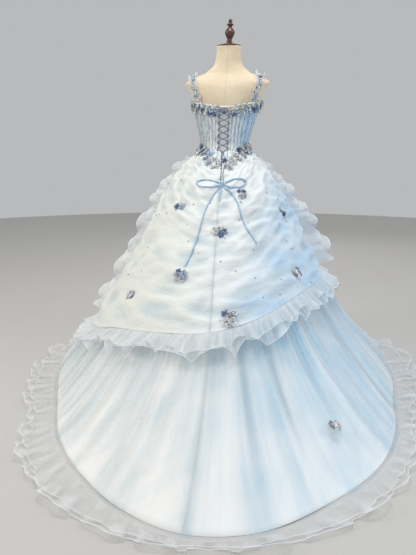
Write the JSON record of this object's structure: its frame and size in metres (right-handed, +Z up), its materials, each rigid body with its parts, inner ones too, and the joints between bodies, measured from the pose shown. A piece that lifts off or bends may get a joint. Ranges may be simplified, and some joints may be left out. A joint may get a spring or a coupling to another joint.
{
  "type": "a-line prom dress on dress form",
  "caption": "Full-skirted prom gown with laced boned bodice, ruched swept overskirt, ruffled tulle skirt and train, standing on a limbless dress form.",
  "frame": {"origin": "middle of the stand's underside, on the floor", "axes": "+Z up; the gown's back faces -Y; +X is the wearer's right"},
  "size_m": [1.9521, 2.1888, 1.6973],
  "materials": {
    "form": "smooth cream jersey cover",
    "walnut": "turned and polished",
    "stand": "dark satin paint",
    "satin": "soft satin",
    "tulle": "sheer net",
    "overskirt": "ruched sheer tulle",
    "bodice": "boned satin",
    "trim": "organza flowers and bindings",
    "lace": "satin lace",
    "bow": "satin cord",
    "blossom": "sewn flowers with beads"
  },
  "bodies": {
    "root": {"basque_flowers_left": "trim", "basque_flowers_right": "trim", "bodice_back_left": "bodice", "bodice_back_right": "bodice", "bodice_front": "bodice", "bodice_side_left": "bodice", "bodice_side_right": "bodice", "bow_knot": "bow", "bow_loop_left": "bow", "bow_loop_right": "bow", "bow_tail_left": "bow", "bow_tail_right": "bow", "bow_tail_short": "bow", "flounce_left": "tulle", "flounce_right": "tulle", "flower_bow": "blossom", "flower_hem": "blossom", "flower_left": "blossom", "flower_middle": "blossom", "flower_right": "blossom", "flower_tail": "blossom", "flower_train": "blossom", "flower_upper_left": "blossom", "flower_upper_right": "blossom", "form_torso": "form", "hem_ruffle_1": "tulle", "hem_ruffle_2": "tulle", "hem_ruffle_3": "tulle", "hem_ruffle_4": "tulle", "hem_ruffle_5": "tulle", "hem_ruffle_6": "tulle", "lace_left": "lace", "lace_right": "lace", "lining_back_left": "satin", "lining_back_right": "satin", "lining_front_left": "satin", "lining_front_right": "satin", "lining_side_left": "satin", "lining_side_right": "satin", "modesty_panel": "satin", "neck_cap": "walnut", "overskirt_left": "overskirt", "overskirt_right": "overskirt", "side_ruffle_left": "tulle", "side_ruffle_right": "tulle", "stand_base": "stand", "stand_pole": "stand", "strap_left": "trim", "strap_right": "trim", "top_binding": "trim", "top_flowers_left": "trim", "top_flowers_right": "trim", "tulle_back_left": "tulle", "tulle_back_right": "tulle", "tulle_front_left": "tulle", "tulle_front_right": "tulle", "tulle_side_left": "tulle", "tulle_side_right": "tulle"}
  },
  "joints": []
}
